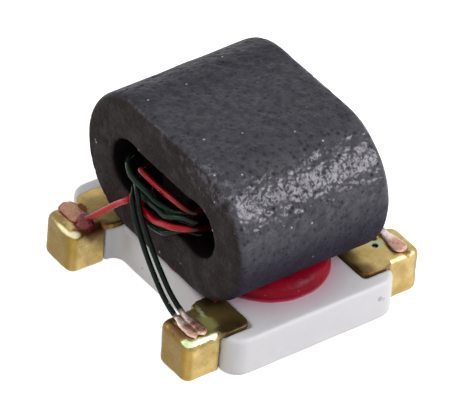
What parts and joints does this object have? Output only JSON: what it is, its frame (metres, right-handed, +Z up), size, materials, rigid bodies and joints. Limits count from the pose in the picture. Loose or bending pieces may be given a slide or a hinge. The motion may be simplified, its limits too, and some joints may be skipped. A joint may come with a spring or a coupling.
{
  "type": "surface-mount balun transformer",
  "caption": "Surface-mount balun transformer: ferrite core wound with enamelled wires, bonded with epoxy to a moulded base whose wrapped gold-plated terminals solder flat to a circuit board.",
  "frame": {"origin": "centre of the footprint on the board plane, which the undersides of the terminals rest on", "axes": "+Z up from the board, +Y along the holes of the core towards the side with three terminals, +X to the right seen from the side with two terminals"},
  "size_m": [0.0038, 0.0038, 0.0028],
  "materials": {
    "moulding": "white, faintly translucent, satin",
    "plating": "thin gold plating, smooth with soft scratches",
    "ferrite": "sintered, finely pitted, with small glints",
    "epoxy": "translucent, glossy",
    "red_enamel": "clear red enamel over copper, glossy",
    "green_enamel": "clear green enamel over copper, glossy"
  },
  "bodies": {
    "root": {"base": "moulding", "terminal_front_left": "plating", "terminal_front_right": "plating", "terminal_rear_left": "plating", "terminal_rear_middle": "plating", "terminal_rear_right": "plating", "core": "ferrite", "adhesive": "epoxy", "wire_red": "red_enamel", "wire_green_upper": "green_enamel", "wire_green_lower": "green_enamel"}
  },
  "joints": []
}
